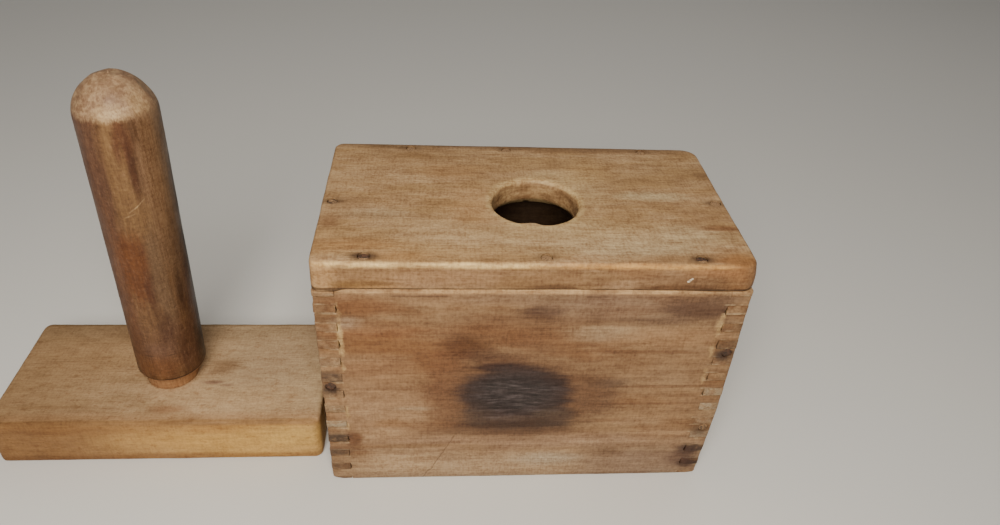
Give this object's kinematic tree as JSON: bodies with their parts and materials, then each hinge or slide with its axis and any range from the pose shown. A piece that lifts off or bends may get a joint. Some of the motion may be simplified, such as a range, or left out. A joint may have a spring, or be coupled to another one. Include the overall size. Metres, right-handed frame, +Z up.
{
  "type": "butter mould with hand press",
  "caption": "Old wooden butter mould: a nailed, finger-jointed box, open below, with a handle hole in its top, and the loose press with a turned handle that pushes the butter out.",
  "frame": {"origin": "on the table, in the middle of the footprint of the box and the press standing side by side", "axes": "+X along both pieces from the press to the box, +Y away from the front wall, +Z up"},
  "size_m": [0.3364, 0.098, 0.1846],
  "materials": {
    "box_wood": "worn bare wood, stained brown",
    "top_wood": "worn bare wood",
    "press_wood": "worn bare wood, pale",
    "handle_wood": "hand-polished reddish brown wood",
    "nail_iron": "rusty dark iron"
  },
  "bodies": {
    "box": {"front_wall": "box_wood", "back_wall": "box_wood", "left_end_wall": "box_wood", "right_end_wall": "box_wood", "top_board": "top_wood", "top_nail_front_left": "nail_iron", "top_nail_front_middle": "nail_iron", "top_nail_front_right": "nail_iron", "top_nail_back_left": "nail_iron", "top_nail_back_middle": "nail_iron", "top_nail_back_right": "nail_iron", "top_nail_left_end": "nail_iron", "top_nail_right_end": "nail_iron", "corner_nail_front_left_1": "nail_iron", "corner_nail_front_right_1": "nail_iron", "corner_nail_front_right_2": "nail_iron", "corner_nail_back_left_1": "nail_iron", "corner_nail_back_left_2": "nail_iron", "corner_nail_back_right_1": "nail_iron"},
    "press": {"press_board": "press_wood"},
    "press_handle": {"handle": "handle_wood"}
  },
  "joints": [
    {"name": "plunger_lift", "type": "slide", "parent": "box", "child": "press", "axis": [0, 0, 1], "range_m": [0, 0.091]},
    {"name": "handle_pull", "type": "slide", "parent": "press", "child": "press_handle", "axis": [0.0436, 0, 0.999], "range_m": [0, 0.03]}
  ]
}
